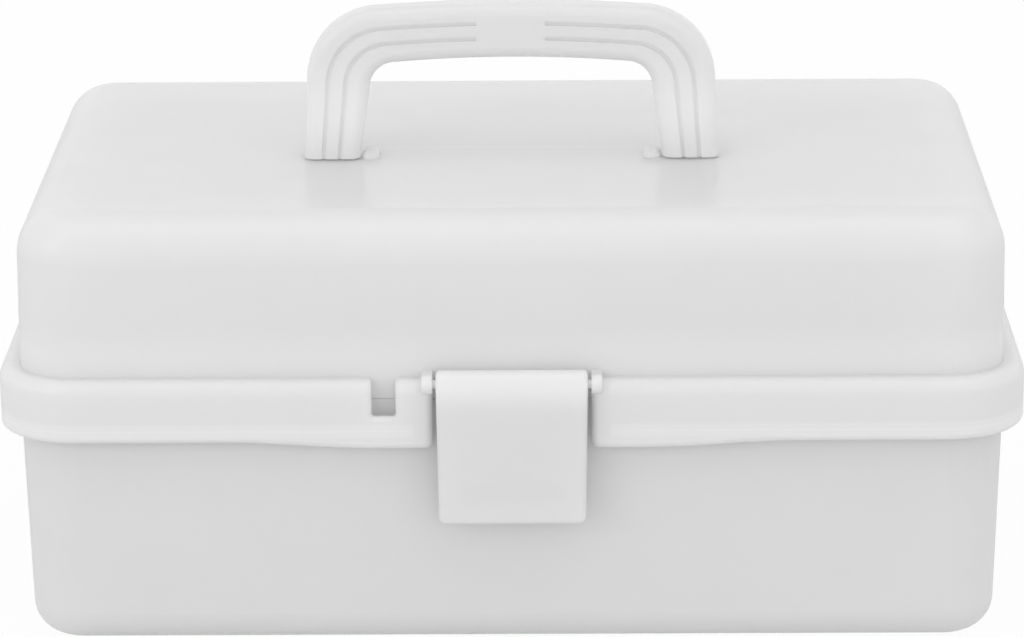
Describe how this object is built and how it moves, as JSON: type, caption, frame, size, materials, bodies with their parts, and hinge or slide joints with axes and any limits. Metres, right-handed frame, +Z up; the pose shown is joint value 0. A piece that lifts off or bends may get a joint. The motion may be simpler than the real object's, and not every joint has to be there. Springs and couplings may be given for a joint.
{
  "type": "three-tier storage case with handle",
  "caption": "Milky translucent plastic case with a hinged lid, snap latch, fold-down handle and two divided trays that rise on swing arms as the lid opens.",
  "frame": {"origin": "middle of the flat underside of the base", "axes": "+X along the case, -Y out of the latch side, +Z up"},
  "size_m": [0.321, 0.213, 0.1906],
  "materials": {
    "milky_shell": "smooth milky translucent polypropylene with a soft gloss",
    "milky_tray": "smooth milky translucent polypropylene",
    "clear_divider": "thin translucent plastic sheet",
    "white_moulding": "opaque white moulded plastic, satin gloss",
    "white_pin": "white nylon, matte"
  },
  "bodies": {
    "base": {"base_bin": "milky_shell", "base_arm_rivets": "white_pin", "hinge_pin_left": "white_pin", "hinge_pin_right": "white_pin"},
    "lid": {"lid_shell": "milky_shell", "latch_pin": "white_pin", "handle_pin_left": "white_pin", "handle_pin_right": "white_pin"},
    "handle": {"carry_handle": "white_moulding"},
    "latch": {"front_latch": "white_moulding"},
    "lower_tray": {"lower_tray": "milky_tray", "lower_tray_rivets": "white_pin", "lower_divider_1": "clear_divider", "lower_divider_2": "clear_divider", "lower_divider_3": "clear_divider"},
    "upper_tray": {"upper_tray": "milky_tray", "upper_tray_rivets": "white_pin", "upper_divider_1": "clear_divider", "upper_divider_2": "clear_divider", "upper_divider_3": "clear_divider", "upper_divider_4": "clear_divider"},
    "front_arm_left": {"front_arm_left": "white_moulding"},
    "front_arm_right": {"front_arm_right": "white_moulding"},
    "rear_arm_left": {"rear_arm_left": "white_moulding"},
    "rear_arm_right": {"rear_arm_right": "white_moulding"}
  },
  "joints": [
    {"name": "lid_hinge", "type": "hinge", "parent": "base", "child": "lid", "pos_m": [0, 0.1045, 0.07], "axis": [-1, 0, 0], "range_deg": [0, 110]},
    {"name": "latch_hinge", "type": "hinge", "parent": "lid", "child": "latch", "pos_m": [0.0004, -0.0989, 0.0883], "axis": [-1, 0, 0], "range_deg": [0, 120]},
    {"name": "handle_fold", "type": "hinge", "parent": "lid", "child": "handle", "pos_m": [0, -0.018, 0.146], "axis": [-1, 0, 0], "range_deg": [0, 90]},
    {"name": "front_arm_left_pivot", "type": "hinge", "parent": "base", "child": "front_arm_left", "pos_m": [-0.1448, 0.02, 0.0804], "axis": [-1, 0, 0], "range_deg": [0, 66]},
    {"name": "rear_arm_left_pivot", "type": "hinge", "parent": "base", "child": "rear_arm_left", "pos_m": [-0.1448, 0.075, 0.0804], "axis": [-1, 0, 0], "range_deg": [0, 66]},
    {"name": "front_arm_right_pivot", "type": "hinge", "parent": "base", "child": "front_arm_right", "pos_m": [0.1448, 0.02, 0.0804], "axis": [-1, 0, 0], "range_deg": [0, 66]},
    {"name": "rear_arm_right_pivot", "type": "hinge", "parent": "base", "child": "rear_arm_right", "pos_m": [0.1448, 0.075, 0.0804], "axis": [-1, 0, 0], "range_deg": [0, 66]},
    {"name": "lower_tray_pivot", "type": "hinge", "parent": "front_arm_left", "child": "lower_tray", "pos_m": [-0.1448, -0.02347, 0.09205], "axis": [-1, 0, 0], "range_deg": [-66, 0]},
    {"name": "upper_tray_pivot", "type": "hinge", "parent": "front_arm_left", "child": "upper_tray", "pos_m": [-0.1448, -0.06693, 0.10369], "axis": [-1, 0, 0], "range_deg": [-66, 0]}
  ],
  "couplings": [
    {"joint": "front_arm_left_pivot", "follows": "lid_hinge", "ratio": 0.6},
    {"joint": "rear_arm_left_pivot", "follows": "lid_hinge", "ratio": 0.6},
    {"joint": "front_arm_right_pivot", "follows": "lid_hinge", "ratio": 0.6},
    {"joint": "rear_arm_right_pivot", "follows": "lid_hinge", "ratio": 0.6},
    {"joint": "lower_tray_pivot", "follows": "lid_hinge", "ratio": -0.6},
    {"joint": "upper_tray_pivot", "follows": "lid_hinge", "ratio": -0.6}
  ]
}
